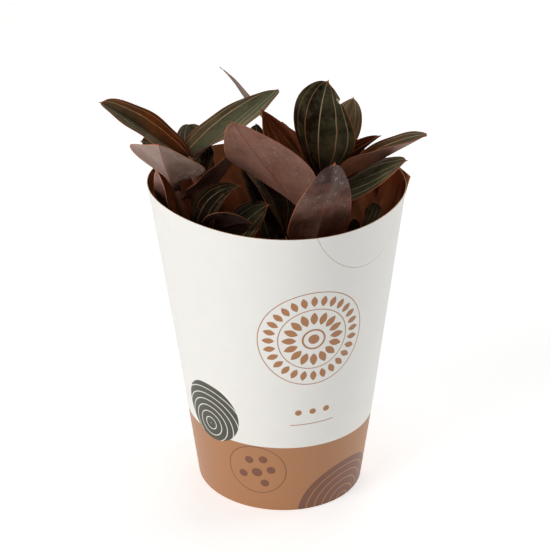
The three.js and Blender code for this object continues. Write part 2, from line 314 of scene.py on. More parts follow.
def petals(centre, count, inner, outer, width):
    """A ring of pointed petals round a point of the blank."""
    sideways, upward = offset_from(centre)
    angle = tone.math("ARCTAN2", upward, sideways)
    pitch = 2 * pi / count
    within = tone.math("PINGPONG", angle, pitch / 2)
    middle = (inner + outer) / 2
    reach = abs(distance_from(centre) - middle) / ((outer - inner) / 2)
    half_width = (1 - reach**2) * width / 2
    spread = within * distance_from(centre)
    return (half_width - spread).under(0, -EDGE)


def ring(centre, radius, width):
    return abs(distance_from(centre) - radius).under(width / 2, EDGE)


def many_rings(centre, half_pitch, half_width):
    """Thin rings round a point of the blank, one each two half pitches."""
    return tone.math("PINGPONG", distance_from(centre), half_pitch).under(half_width, EDGE)


def disc(centre, radius):
    return distance_from(centre).under(radius, EDGE)


# The foot band, and the thin line of a finger hole that is marked but not pushed out; the line is painted
# shade of its crease and fades out towards the right.
BAND_TOP = 0.0515
HOLE_CENTRE = (0.0637, 0.218)
band = slant.under(BAND_TOP, EDGE)
crease_shade_fade = (0.7 - offset_from(HOLE_CENTRE)[0] * 16).clipped()
hole_crease_shade = ring(HOLE_CENTRE, radius=0.0435, width=0.00035) * crease_shade_fade

# Ornament of the front: a rosette of petals in rings, with a rule and three dots under it.
ROSETTE = (0.021, 0.134)
DOTS_HEIGHT = 0.0790
DOTS_APART = 0.009
RULE_DROP = 0.0095
RULE_HALF_LENGTH = 0.014
rosette = petals(ROSETTE, count=28, inner=0.0235, outer=0.0310, width=0.0040)
rosette = rosette.either(petals(ROSETTE, count=16, inner=0.0105, outer=0.0195, width=0.0046))
for radius, width in ((0.0335, 0.0006), (0.0215, 0.0006), (0.0068, 0.0012)):
    rosette = rosette.either(ring(ROSETTE, radius, width))
rosette = rosette.either(disc(ROSETTE, radius=0.0034))
for step in (-1, 0, 1):
    rosette = rosette.either(disc((ROSETTE[0] + step * DOTS_APART, DOTS_HEIGHT), radius=0.0021))
sideways, upward = offset_from((ROSETTE[0], DOTS_HEIGHT - RULE_DROP))
rule = abs(sideways).under(RULE_HALF_LENGTH, EDGE) * abs(upward).under(0.0003, EDGE)

# The front left carries a dark disc of thin pale rings, and the band a ringed hill and some berries.
SUN = (-0.047, 0.066)
SUN_RINGS = (-0.047, 0.0565)
HILL = (0.045, -0.004)
BERRIES = ((-0.005, 0.033), (-0.009, 0.022), (-0.023, 0.027), (-0.010, 0.041), (-0.019, 0.039))
sun = disc(SUN, radius=0.0215)
sun_rings = many_rings(SUN_RINGS, half_pitch=0.0022, half_width=0.0003)
hill = disc(HILL, radius=0.034)
hill_rings = many_rings(HILL, half_pitch=0.0028, half_width=0.0004)
berries = disc((-0.014, 0.030), radius=0.0034).either(ring((-0.014, 0.032), radius=0.0185, width=0.0006))
for berry in BERRIES:
    berries = berries.either(disc(berry, radius=0.0028))

ink = band.blend(white, COPPER_INK)
ink = (berries * band).blend(ink, BROWN_INK)
ink = (hill * (1 - hill_rings) * band).blend(ink, BROWN_INK)
ink = (sun * (1 - sun_rings)).blend(ink, OLIVE_INK)
ink = (sun * sun_rings).blend(ink, PALE_INK)
ink = rosette.either(rule).blend(ink, COPPER_INK)
ink = (hole_crease_shade * 0.7).blend(ink, COPPER_INK)
feed(shader, "Base Color", ink)
feed(shader, "Roughness", 0.42 + fibre * 0.08 - band * 0.04)
feed(shader, "Normal", bumped(tone, fibre, 0.12, 0.0001))

# The copper inside carries painted reflections, dark stretched patches for leaves mirrored in it, and
# painted light that makes one stretch at the rear left paler.
PAINTED_LIGHT_STRETCH = -0.19
card_lining, shader, tone = finish("copper_lining")
flat = tone.node("UVMap", uv_map="blank")
cloud = tone.noise(flat.node("Mapping", {"Vector": flat, "Scale": (90, 14, 1)}), 1.0, 3.0)
fibre = tone.noise(flat, 1800.0, 4.0)
across = flat.node("SeparateXYZ", {"Vector": flat}, out="X")
# Painted reflection from the cloud noise, and painted light over the stretch at the rear left.
painted_light_stretch = abs(across - PAINTED_LIGHT_STRETCH).under(0.04, 0.03)
copper = (cloud * 3.4 - 1.25 + painted_light_stretch * 0.5).clipped()
feed(shader, "Base Color", copper.blend(paint("703424"), paint("e49260")))
feed(shader, "Roughness", 0.30 + fibre * 0.1)
shader["Metallic"].default_value = 0.15
feed(shader, "Normal", bumped(tone, fibre, 0.15, 0.0001))

card_edge, shader, tone = finish("cut_card_edge")
place = tone.node("TexCoord", out="Object")
fibre = tone.noise(place, 3000.0)
feed(shader, "Base Color", fibre.blend(paint("cc8c52"), paint("e6b888")))
shader["Roughness"].default_value = 0.85

for material in (card_white, card_lining, card_edge):
    card_sleeve.data.materials.append(material)
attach(card_sleeve, "root")
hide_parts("card_sleeve")

# --- The grower's pot -----------------------------------------------------------------------------
# A thin plastic pot, 12 cm across its stepped rim, blown from one sheet, with a ring of drain holes.
# It drops into the sleeve until its rim nearly touches the card, and both stand on the table.

POT_BASE_RADIUS = 0.043
POT_BAND_FOOT = 0.089
POT_WALL_TOP_RADIUS = 0.0574
POT_RIM_RADIUS = 0.060
POT_HEIGHT = 0.096
POT_SHEET = 0.0011
POT_FOOT_ROUND = 0.001
POT_FOOT_RISE = 0.0012
POT_LEDGE_RISE = 0.0003
POT_WALL_RINGS = 5
POT_SIDES = 96
DRAIN_HOLES = 8
DRAIN_HOLE_RADIUS = 0.0045
DRAIN_HOLE_SIDES = 20
DRAIN_CIRCLE = 0.030

bm = bmesh.new()
ring_radius = POT_BASE_RADIUS - POT_FOOT_ROUND
bmesh.ops.create_circle(bm, segments=POT_SIDES, radius=ring_radius)
ring_edges = bm.edges[:]
for hole in range(DRAIN_HOLES):
    turned = Matrix.Rotation(2 * pi * (hole + 1) / DRAIN_HOLES, 4, "Z")
    centre = turned @ Matrix.Translation((DRAIN_CIRCLE, 0, 0))
    bmesh.ops.create_circle(bm, segments=DRAIN_HOLE_SIDES, radius=DRAIN_HOLE_RADIUS, matrix=centre)
bmesh.ops.triangle_fill(bm, use_beauty=True, use_dissolve=False, edges=bm.edges[:])
for face in bm.faces:
    if face.normal.z > 0:
        face.normal_flip()
wall_steps = [(POT_BASE_RADIUS, POT_FOOT_RISE)]
for step in range(1, POT_WALL_RINGS + 1):
    share = step / POT_WALL_RINGS
    radius = POT_BASE_RADIUS + (POT_WALL_TOP_RADIUS - POT_BASE_RADIUS) * share
    wall_steps.append((radius, POT_BAND_FOOT * share))
wall_steps += [(POT_RIM_RADIUS, POT_BAND_FOOT + POT_LEDGE_RISE), (POT_RIM_RADIUS, POT_HEIGHT)]
for radius, height in wall_steps:
    grown = bmesh.ops.extrude_edge_only(bm, edges=ring_edges)["geom"]
    verts = [item for item in grown if isinstance(item, bmesh.types.BMVert)]
    ring_edges = [edge for edge in grown if isinstance(edge, bmesh.types.BMEdge)]
    bmesh.ops.scale(bm, vec=(radius / ring_radius, radius / ring_radius, 1), verts=verts)
    bmesh.ops.translate(bm, vec=(0, 0, height - verts[0].co.z), verts=verts)
    ring_radius = radius
bmesh.ops.recalc_face_normals(bm, faces=bm.faces)
grower_pot = link_mesh("blown_pot", bm)
sheet = grower_pot.modifiers.new("sheet", "SOLIDIFY")
sheet.thickness = POT_SHEET
sheet.offset = -1
softened = grower_pot.modifiers.new("softened", "BEVEL")
softened.width = 0.0003
softened.segments = 2
softened.angle_limit = radians(40)

pot_plastic, shader, tone = finish("pot_plastic")
place = tone.node("TexCoord", out="Object")
grain = tone.noise(place, 900.0)
dusty = tone.noise(place, 60.0, 5.0)
feed(shader, "Base Color", dusty.blend(paint("2c211b"), paint("40322a")))
feed(shader, "Roughness", 0.42 + dusty * 0.2)
feed(shader, "Normal", bumped(tone, grain, 0.1, 0.0001))
grower_pot.data.materials.append(pot_plastic)
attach(grower_pot, "root")
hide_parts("grower_pot")

# --- The potting mix ------------------------------------------------------------------------------
# Fine bark and coir fill the pot to a finger's width under its rim. Loose bark chips and a few white
# grains of perlite lie on top, around the stems.

MIX_FLOOR = 0.0015
MIX_TOP = 0.0862
MIX_SIDES = 72
MIX_FLOOR_RADIUS = 0.0416
MIX_TOP_RADIUS = 0.0553
MIX_TOP_RINGS = 24
MIX_LUMP = 0.0022
MIX_COARSE = 90
MIX_FINE = 320
MIX_FLAT_EDGE = 0.001

bm = bmesh.new()
profile = [(0, MIX_FLOOR), (MIX_FLOOR_RADIUS, MIX_FLOOR), (MIX_TOP_RADIUS, MIX_TOP)]
for step in range(1, MIX_TOP_RINGS + 1):
    profile.append((MIX_TOP_RADIUS * (1 - step / MIX_TOP_RINGS), MIX_TOP))
corners = [bm.verts.new((radius, 0, height)) for radius, height in profile]
outline = corners + [bm.edges.new(pair) for pair in zip(corners, corners[1:])]
bmesh.ops.spin(
    bm,
    geom=outline,
    cent=(0, 0, 0),
    axis=(0, 0, 1),
    angle=2 * pi,
    steps=MIX_SIDES,
    use_merge=True,
)
bmesh.ops.remove_doubles(bm, verts=bm.verts, dist=1e-6)
for vert in bm.verts:
    from_axis = hypot(vert.co.x, vert.co.y)
    if vert.co.z > MIX_TOP - MIX_FLAT_EDGE and from_axis < MIX_TOP_RADIUS - MIX_FLAT_EDGE:
        coarse = noise.noise(vert.co * MIX_COARSE)
        fine = noise.noise(vert.co * MIX_FINE)
        vert.co.z += MIX_LUMP * (coarse + 0.4 * fine)
bmesh.ops.recalc_face_normals(bm, faces=bm.faces)
mix_fill = link_mesh("bark_and_coir", bm)

mix_brown, shader, tone = finish("damp_bark")
place = tone.node("TexCoord", out="Object")
crumb = tone.noise(place, 420.0, 6.0, 0.65)
patch = tone.noise(place, 120.0, 4.0)
strands = tone.node("TexVoronoi", {"Vector": place, "Scale": 380.0})
feed(shader, "Base Color", (patch * 0.6 + strands * 0.5).blend(paint("1d130d"), paint("5a3d29")))
feed(shader, "Roughness", 0.8 + crumb * 0.2)
feed(shader, "Normal", bumped(tone, crumb + strands * 0.6, 0.8, 0.0012))
mix_fill.data.materials.append(mix_brown)
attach(mix_fill, "root")
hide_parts("substrate")

# The loose grains: one in ten is perlite, which is rounder, smaller and white.
CHIPS = 260
CHIP_SEED = 12
CHIP_CIRCLE = 0.052
CHIP_SIZES = (0.004, 0.009)
CHIP_WIDTHS = (0.45, 0.75)
CHIP_DEPTHS = (0.22, 0.4)
CHIP_LIFTS = (0.0004, 0.0032)
CHIP_ROLL = 0.5
CHIP_PITCH = 0.4
CHIP_ROUGHNESS = 0.045
PERLITE_SHARE = 0.1
PERLITE_SIZES = (0.0022, 0.0036)
PERLITE_SHAPE = (1, 0.8, 0.7)
draw = random.Random(CHIP_SEED)
bm = bmesh.new()
tint = bm.verts.layers.float.new("tint")
for chip in range(CHIPS):
    reach = CHIP_CIRCLE * draw.random() ** 0.5
    bearing = draw.uniform(0, 2 * pi)
    perlite = draw.random() < PERLITE_SHARE
    size = draw.uniform(*(PERLITE_SIZES if perlite else CHIP_SIZES))
    shape = PERLITE_SHAPE if perlite else (1, draw.uniform(*CHIP_WIDTHS), draw.uniform(*CHIP_DEPTHS))
    height = MIX_TOP + draw.uniform(*CHIP_LIFTS)
    lie = (
        Matrix.Translation((reach * cos(bearing), reach * sin(bearing), height))
        @ Matrix.Rotation(draw.uniform(0, 2 * pi), 4, "Z")
        @ Matrix.Rotation(draw.uniform(-CHIP_ROLL, CHIP_ROLL), 4, "X")
        @ Matrix.Rotation(draw.uniform(-CHIP_PITCH, CHIP_PITCH), 4, "Y")
        @ Matrix.Diagonal((size * shape[0], size * shape[1], size * shape[2], 1))
    )
    grain = bmesh.ops.create_icosphere(bm, subdivisions=2, radius=0.5, matrix=lie)["verts"]
    colour = 1.0 if perlite else draw.uniform(0, 0.6)
    for vert in grain:
        vert[tint] = colour
        jolt = Vector((draw.uniform(-1, 1), draw.uniform(-1, 1), draw.uniform(-1, 1)))
        vert.co += jolt * size * CHIP_ROUGHNESS
chips = link_mesh("bark_chips", bm)

chip_brown, shader, tone = finish("bark_chip")
place = tone.node("TexCoord", out="Object")
shade = tone.node("Attribute", out="Fac", attribute_name="tint")
rind = tone.noise(place, 700.0, 5.0, 0.6)
brown = (shade * 1.1 + rind * 0.5 - 0.2).clipped().blend(paint("2a1a11"), paint("7d5638"))
feed(shader, "Base Color", shade.under(0.8, 0.1).blend(paint("ddd6c8"), brown))
feed(shader, "Roughness", 0.75 + rind * 0.2)
feed(shader, "Normal", bumped(tone, rind, 0.6, 0.0006))
chips.data.materials.append(chip_brown)
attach(chips, "root")
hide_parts("substrate")

# --- The shoots -----------------------------------------------------------------------------------
# Each shoot grew as one: a fleshy stem, wrapped in the sheaths of its leaf stalks, that stands up in
# the mix and then arches over. The leaves are thin, dark and velvety above with coppery veins that
# run from stalk to tip, and mauve underneath, with a coral margin.

MILLIMETRE = 0.001
LEAF_ROWS = 72
LEAF_COLUMNS = 40
STALK_SHARE = 0.18  # of a leaf's length
STALK_HALF_WIDTH = 0.0036
STALK_THICKNESS = 0.0021
STALK_FOLD = radians(58)
STALK_FOLD_END = 0.34
BLADE_START = 0.126
BLADE_END = 0.975  # a small soft point stands out of the blade's end
BLADE_THICKNESS = 0.0006
BLADE_CAMBER = 0.22
BLADE_WAVES = 2.6
WAVE_SIZES = (0.0002, 0.0005)
PLAIN_LIGHTS = (0.15, 0.5)
POINT_HALF_WIDTH = 0.0005
POINT_SHARE = 0.025
VEINS = (0, 0.5, 0.8)  # across each half of the blade, from its middle to its margin
VEIN_DEPTH = 0.0002
VEIN_BREADTH = 0.0005
TEAR_LENGTH = 0.012
TEAR_DEPTH = 0.28
TEAR_START = 0.65
SEEN_VALUES = ("half_width", "red_and_glow", "dust", "light", "torn", "spot")  # the leaf's colours read these

# A leaf leaves the stem at the share "on" of its arch. In degrees, bearing is its direction from +X
# towards +Y, rise its climb at the stem, droop how much of that it loses by the tip, swerve its
# sideways bend, fold the V of its blade, opening how much of the fold is gone at the tip, and roll its
# turn about its length. Length and width are in millimetres. Stalk is the share of the length before
# the blade, belly the share of the blade at which it is widest, base and tip say how slim its two ends
# are, and skew slides its halves apart. Light is how pale the leaf is, together with painted light and
# shade: it is low on leaves that lie in shade deep in the sleeve, and its gains brighten or darken
# parts of a leaf as light falls on them. The red value is how red the leaf is, and its gains across and
# along also paint the glow of light that shines through the leaf. Each is given as its value at the
# middle and its gain across and along the leaf. Dust is how much pale dust its lower face carries, and
# it also lifts the painted shade near the stalk of that face. Torn and spot are the shares of the
# length at which a margin is torn and a dark spot lies.
PLAIN_LEAF = dict(
    droop=0,
    swerve=0,
    fold=0,
    opening=0,
    roll=0,
    skew=0,
    base=0.9,
    tip=0.7,
    belly=0.47,
    stalk=BLADE_START,
    red_and_glow=(0.05, 0, 0),
    dust=0,
    torn=-1,
    spot=-1,
)
shoots = {
    "shoot_left": dict(foot=(-26, 10), bend=(-40, 14, 150), top=(-60, 6, 212), leaves=[
        dict(on=1, bearing=165, rise=32, droop=6, swerve=-1, length=68, width=32, fold=32, roll=-7,
             skew=0.05, base=0.5, tip=0.45, belly=0.53, stalk=0.03, red_and_glow=(0.5, -0.8, -0.9),
             light=(0.66, 0, 0)),
        dict(on=1, bearing=30, rise=39, droop=11, swerve=5, length=72, width=43, fold=25, roll=-3,
             skew=-0.45, base=0.5, tip=0.55, belly=0.39, stalk=0.03, red_and_glow=(-0.1, 0.5, 0),
             light=(1, -0.5, -0.5)),
        dict(on=0.93, bearing=98, rise=32, droop=29, swerve=4, length=53, width=24, fold=28, roll=2,
             skew=-0.05, base=0.85, tip=0.65, belly=0.48, light=(0.35, 0, 0)),
        dict(on=0.86, bearing=72, rise=69, droop=15, swerve=6, length=29, width=22, fold=21,
             roll=-36, skew=0.2, base=0.85, tip=0.6, belly=0.66, light=(0.02, 0, 0)),
    ]),
    "shoot_centre": dict(foot=(8, 14), bend=(12, 18, 150), top=(22, 6, 200), leaves=[
        dict(on=1, bearing=52, rise=116, droop=50, swerve=-6, length=71, width=42, fold=-12,
             roll=15, skew=0.3, base=0.65, tip=0.6, belly=0.52, torn=0.88, red_and_glow=(0.1, 0, -0.2),
             light=(0.17, -0.15, 0)),
        dict(on=0.97, bearing=70, rise=49, droop=25, swerve=37, length=72, width=32, fold=39,
             roll=-12, skew=0.3, tip=0.85, red_and_glow=(0.35, 0, 0), light=(1.5, 0, 0)),
        dict(on=0.96, bearing=9, rise=54, droop=17, swerve=2, length=50, width=23, fold=53, roll=5,
             tip=0.8, belly=0.46, red_and_glow=(1.4, 0, 0), light=(0.35, 0, 0)),
        dict(on=0.96, bearing=-9, rise=35, droop=1, swerve=1, length=74.7, width=39, fold=50,
             opening=41, roll=-13, skew=0.35, base=0.5, tip=0.45, belly=0.53, red_and_glow=(0.7, 0.1, -1.1),
             light=(1.35, -0.1, -0.9)),
        dict(on=0.93, bearing=-27, rise=30, droop=-4, swerve=13, length=66, width=40, fold=8,
             roll=16, skew=0.15, base=1.55, light=(0.65, 0, 0)),
        dict(on=0.98, bearing=181, rise=54, droop=4, swerve=7, length=65, width=42, fold=9,
             roll=-19, skew=0.6, base=1.15, tip=0.9, belly=0.4, red_and_glow=(1.1, -0.3, 1.7),
             light=(0.22, 0, 0)),
    ]),
    "shoot_back": dict(foot=(2, 36), bend=(4, 42, 150), top=(8, 42, 196), leaves=[
        dict(on=1, bearing=155, rise=52, droop=14, swerve=1, length=83, width=20, fold=9, roll=41,
             light=(0.85, 0, 0)),
        dict(on=0.95, bearing=170, rise=45, droop=-7, swerve=-4, length=44, width=33, fold=-10,
             roll=4, skew=0.55, base=0.8, tip=0.55, belly=0.53),
        dict(on=0.86, bearing=112, rise=70, droop=44, swerve=-2, length=47.5, width=27, fold=2,
             roll=22, skew=0.15, belly=0.46),
    ]),
    "shoot_front": dict(foot=(8, -22), bend=(12, -34, 130), top=(16, -40, 190), leaves=[
        dict(on=1, bearing=198, rise=54, droop=1, swerve=57, length=92, width=61, fold=19, roll=35,
             skew=-0.2, base=2.6, tip=0.75, belly=0.43, red_and_glow=(0.6, 0, 0), dust=0.5,
             light=(0.85, 0, 0)),
        dict(on=0.86, bearing=285, rise=46, droop=-31, swerve=15, length=87, width=41, fold=19,
             roll=8, skew=-0.15, base=0.5, tip=0.5, belly=0.36, red_and_glow=(0.65, 0, 0), dust=1,
             light=(0.72, 0, -1.5)),
        dict(on=0.74, bearing=70, rise=62, droop=40, length=42, width=26, fold=12),
    ]),
    "shoot_inner": dict(foot=(-8, -2), bend=(-10, -6, 130), top=(-2, -12, 168), leaves=[
        dict(on=1, bearing=158, rise=90, droop=64, swerve=3, length=57, width=39, fold=34, roll=-5,
             skew=0.1, base=1.4, tip=0.75, belly=0.48, red_and_glow=(0.15, 0, 0), light=(0.14, 0, 0)),
        dict(on=0.95, bearing=150, rise=83, droop=48, swerve=-5, length=61, width=33, fold=5,
             roll=13, skew=0.05, base=0.8, tip=0.6, belly=0.52, light=(0.02, 0, 0)),
        dict(on=0.88, bearing=110, rise=60, droop=40, length=36, width=24, fold=12),
    ]),
    "shoot_side": dict(foot=(-34, -14), bend=(-50, -20, 145), top=(-67, -22, 204), leaves=[
        dict(on=1, bearing=259, rise=49, droop=-2, swerve=11, length=60, width=50, fold=23, roll=-9,
             skew=-0.1, base=2.25, tip=1, belly=0.54, red_and_glow=(0.2, -0.1, 0), dust=0.3,
             light=(0.66, -0.32, 0.8)),
        dict(on=0.94, bearing=10, rise=47, droop=6, swerve=13, length=47, width=15, fold=-5,
             roll=-55, skew=-0.3, base=0.4, tip=0.25, belly=0.45, red_and_glow=(0.5, 0, 0),
             light=(0.5, 0, 0)),
        dict(on=0.7, bearing=187, rise=54, droop=-25, swerve=23, length=56, width=26, fold=1,
             roll=15, skew=0.25, base=0.95, tip=0.65, belly=0.46, red_and_glow=(0.4, 0, 0),
             light=(0.45, 0, 1)),
    ]),
    "shoot_low": dict(foot=(-22, -26), bend=(-34, -34, 130), top=(-52, -38, 180), leaves=[
        dict(on=1, bearing=3, rise=109, droop=106, swerve=-16, length=51, width=24, fold=-1,
             roll=28, skew=0.2, base=0.5, tip=1, belly=0.36, spot=0.42, light=(0.03, 0, 0)),
        dict(on=0.98, bearing=-21, rise=57, droop=52, swerve=-1, length=40, width=30, fold=16,
             roll=-50, skew=-0.05, base=0.95, tip=0.75, belly=0.48, red_and_glow=(0, 0, 0),
             light=(0.3, 0, 0)),
        dict(on=0.8, bearing=17, rise=68, droop=39, swerve=1, length=54, width=34, fold=8, roll=10,
             skew=0.3, base=0.85, tip=0.6, belly=0.53, light=(0.3, 0, 0)),
    ]),
    "shoot_right": dict(foot=(30, -6), bend=(38, -8, 130), top=(44, -10, 172), leaves=[
        dict(on=1, bearing=43, rise=56, droop=1, swerve=29, length=25, width=28, fold=7, roll=-33,
             skew=0.1, base=0.85, tip=0.55, belly=0.6, light=(0.1, 0, 0)),
        dict(on=0.94, bearing=155, rise=83, droop=7, swerve=-1, length=18, width=20, fold=6,
             roll=-2, skew=0.25, tip=0.65, light=(0.05, 0, 0)),
        dict(on=0.8, bearing=-30, rise=60, droop=40, length=34, width=22, fold=12),
    ]),
    "shoot_rear_left": dict(foot=(-24, 33), bend=(-34, 38, 140), top=(-48, 36, 188), leaves=[
        dict(on=1, bearing=179, rise=56, droop=53, swerve=1, length=55, width=31, fold=15, roll=-5,
             skew=-0.05, tip=0.35, belly=0.5, light=(0.1, 0, 0)),
        dict(on=0.95, bearing=145, rise=70, droop=30, length=36, width=16, fold=12),
        dict(on=0.84, bearing=-130, rise=30, droop=40, length=28, width=18, fold=12),
    ]),
    "shoot_rear_right": dict(foot=(31, 24), bend=(34, 30, 140), top=(40, 30, 186), leaves=[
        dict(on=1, bearing=32, rise=85, droop=25, swerve=-6, length=29, width=27, fold=41, roll=-25,
             skew=0.25, base=0.8, tip=0.6, belly=0.52, red_and_glow=(1.2, 0, 0), light=(0.1, 0, 0)),
        dict(on=0.95, bearing=120, rise=66, droop=36, length=38, width=22, fold=12),
        dict(on=0.86, bearing=165, rise=56, droop=40, length=32, width=20, fold=12),
    ]),
}

STEM_FOOT_Z = 0.058
STEM_BEND_Z = 0.090
STEM_FOOT_RADIUS = 0.0033
STEM_TOP_RADIUS = 0.0025
STEM_TIP = 0.005
STEM_ROWS = 90
STEM_SIDES = 20
SHEATH_ENDS = [0.12, 0.3, 0.48, 0.64]  # up the arch, besides those of the leaves
SHEATH_STEP = 0.0005
SHEATH_TAPER = 0.05


def arch(shoot, share):
    """A point of the stem's curve above the mix."""
    foot = Vector((*shoot["foot"], STEM_BEND_Z / MILLIMETRE))
    bend = Vector(shoot["bend"])
    top = Vector(shoot["top"])
    return (foot * (1 - share) ** 2 + bend * 2 * share * (1 - share) + top * share**2) * MILLIMETRE


def grow_stem(shoot):
    """The stem: a tube of rings along the arch, stepped where each sheath ends."""
    bm = bmesh.new()
    straight = STEM_BEND_Z - STEM_FOOT_Z
    whole = straight + (arch(shoot, 1) - arch(shoot, 0)).length + STEM_TIP
    foot = Vector((shoot["foot"][0] * MILLIMETRE, shoot["foot"][1] * MILLIMETRE, STEM_FOOT_Z))
    sheaths = [leaf["on"] for leaf in shoot["leaves"]] + SHEATH_ENDS
    end_way = (arch(shoot, 1) - arch(shoot, 0.98)).normalized()

    def centre(share):
        travelled = share * whole
        if travelled < straight:
            return foot + Vector((0, 0, travelled))
        if travelled > whole - STEM_TIP:
            return arch(shoot, 1) + end_way * (travelled - whole + STEM_TIP)
        return arch(shoot, (travelled - straight) / (whole - STEM_TIP - straight))

    bmesh.ops.create_grid(bm, x_segments=STEM_ROWS, y_segments=STEM_SIDES, size=0.5)
    for vert in bm.verts:
        share = vert.co.x + 0.5
        turn = (vert.co.y + 0.5) * 2 * pi
        forward = (centre(min(1, share + 0.004)) - centre(max(0, share - 0.004))).normalized()
        across = Vector((0, 1, 0)).cross(forward).normalized()
        up_arch = clamp((share * whole - straight) / (whole - STEM_TIP - straight))
        radius = STEM_FOOT_RADIUS + (STEM_TOP_RADIUS - STEM_FOOT_RADIUS) * up_arch
        below = [sheath - up_arch for sheath in sheaths if sheath >= up_arch]
        if below and share * whole > straight:
            radius += SHEATH_STEP * exp(-min(below) / SHEATH_TAPER)
        end = clamp((whole - share * whole) / STEM_TIP)
        radius *= max(0.12, end**0.5)
        vert.co = centre(share) + Matrix.Rotation(turn, 3, forward) @ across * radius
    bmesh.ops.remove_doubles(bm, verts=bm.verts, dist=1e-6)
    bmesh.ops.holes_fill(bm, edges=bm.edges, sides=STEM_SIDES)
    bmesh.ops.recalc_face_normals(bm, faces=bm.faces)
    return bm


def leaf_heading(leaf, along):
    """The leaf's direction at a share of its length, and the level line across it."""
    climb = radians(leaf["rise"] - leaf["droop"] * along)
    heading = radians(leaf["bearing"] + leaf["swerve"] * (along - 0.5))
    forward = Vector((cos(climb) * cos(heading), cos(climb) * sin(heading), sin(climb)))
    return forward, Vector((-sin(heading), cos(heading), 0))


def leaf_half_width(leaf, along):
    on_blade = clamp((along - leaf["stalk"]) / (BLADE_END - leaf["stalk"]))
    slimness = leaf["base"] * (1 - on_blade) + leaf["tip"] * on_blade
    swelling = max(0, sin(pi * on_blade ** (log(0.5) / log(leaf["belly"]))))
    oval = leaf["width"] * MILLIMETRE / 2 * swelling**slimness
    point = POINT_HALF_WIDTH * clamp((1 - along) / POINT_SHARE + 0.15)
    return hypot(oval, STALK_HALF_WIDTH * (1 - on_blade) + point)


def leaf_thickness(along, across):
    """Thick at the stalk, and half of the blade's thickness at the margin and the point."""
    stalk = clamp(1 - along / (1.3 * STALK_SHARE)) ** 2
    thickness = BLADE_THICKNESS + (STALK_THICKNESS - BLADE_THICKNESS) * stalk
    at_point = clamp((along - BLADE_END) / POINT_SHARE + 1)
    return thickness * ((1 - 0.5 * abs(across) ** 6) * (1 - 0.5 * at_point))


def graded(shade, across, along):
    """A tone given as its middle value and how much it gains across and along the leaf."""
    level, outwards, onwards = shade
    return max(0, level + outwards * across + onwards * (along - 0.5))


def grow_leaf(bm, layers, leaf, root, draw):
    """One leaf: a flat grid bent to its place, with its veins sunk into the upper face."""
    blade, thickness, values = layers
    grid = bmesh.ops.create_grid(bm, x_segments=LEAF_ROWS, y_segments=LEAF_COLUMNS, size=0.5)["verts"]
    length = leaf["length"] * MILLIMETRE
    spine = [root]
    for row in range(LEAF_ROWS):
        forward, level = leaf_heading(leaf, (row + 0.5) / LEAF_ROWS)
        spine.append(spine[row] + forward * length / LEAF_ROWS)
    wave_at = draw.uniform(0, 2 * pi)
    wave_size = draw.uniform(*WAVE_SIZES)
    shade = leaf.get("light", (draw.uniform(*PLAIN_LIGHTS), 0, 0))
    for face in {face for vert in grid for face in vert.link_faces}:
        for loop in face.loops:
            loop[blade].uv = (loop.vert.co.x + 0.5, loop.vert.co.y + 0.5)
    for vert in grid:
        along = vert.co.x + 0.5
        across = vert.co.y * 2
        forward, level = leaf_heading(leaf, along)
        turned = radians(leaf["roll"]) * min(1, along / STALK_SHARE)
        sideways = Matrix.Rotation(turned, 3, forward) @ level
        normal = forward.cross(sideways)
        half = leaf_half_width(leaf, along)
        fold = radians(leaf["fold"] - leaf["opening"] * along**3)
        fold += (STALK_FOLD - fold) * clamp(1 - along / STALK_FOLD_END) ** 2
        raised = sin(fold) * abs(across) - BLADE_CAMBER * across**2
        on_blade = clamp((along - STALK_SHARE) / 0.15)
        groove = sum(exp(-(((abs(across) - vein) * half / VEIN_BREADTH) ** 2)) for vein in VEINS)
        wave = wave_size * abs(across) ** 3 * sin(2 * pi * BLADE_WAVES * along + wave_at + (across > 0))
        lift = half * raised + on_blade * (wave - VEIN_DEPTH * groove)
        edge = half * across * cos(fold)
        if leaf["torn"] > 0 and across < 0:
            bite = exp(-(((along - leaf["torn"]) / TEAR_LENGTH) ** 2))
            bite *= clamp((-across - TEAR_START) / (1 - TEAR_START))
            edge += half * TEAR_DEPTH * bite
        slide = forward * (leaf["skew"] * half * across)
        vert.co = spine[round(along * LEAF_ROWS)] + slide + sideways * edge + normal * lift
        vert[thickness][0] = leaf_thickness(along, across) / STALK_THICKNESS
        vert[values["half_width"]] = half
        # The red value is the leaf's redness, and its gains also paint light shining through the leaf.
        # The light value is its paleness together with painted light and shade.
        vert[values["red_and_glow"]] = graded(leaf["red_and_glow"], across, along)
        vert[values["light"]] = graded(shade, across, along)
        for name in ("dust", "torn", "spot"):
            vert[values[name]] = leaf[name]


def grow_leaves(shoot, draw):
    """The leaves of a shoot in one mesh, with the values that their colours read."""
    bm = bmesh.new()
    blade = bm.loops.layers.uv.new("blade")
    thickness = bm.verts.layers.deform.new()
    values = {name: bm.verts.layers.float.new(name) for name in SEEN_VALUES}
    for leaf in shoot["leaves"]:
        grow_leaf(bm, (blade, thickness, values), PLAIN_LEAF | leaf, arch(shoot, leaf["on"]), draw)
    return bm


def leaf_value(tone, name):
    """A value that the leaf's mesh carries."""
    return tone.node("Attribute", out="Fac", attribute_name=name)


def leaf_share(tone, axis):
    """The share of the way along the leaf for X, or across it for Y."""
    return tone.node("SeparateXYZ", {"Vector": tone.node("UVMap", uv_map="blade")}, out=axis)


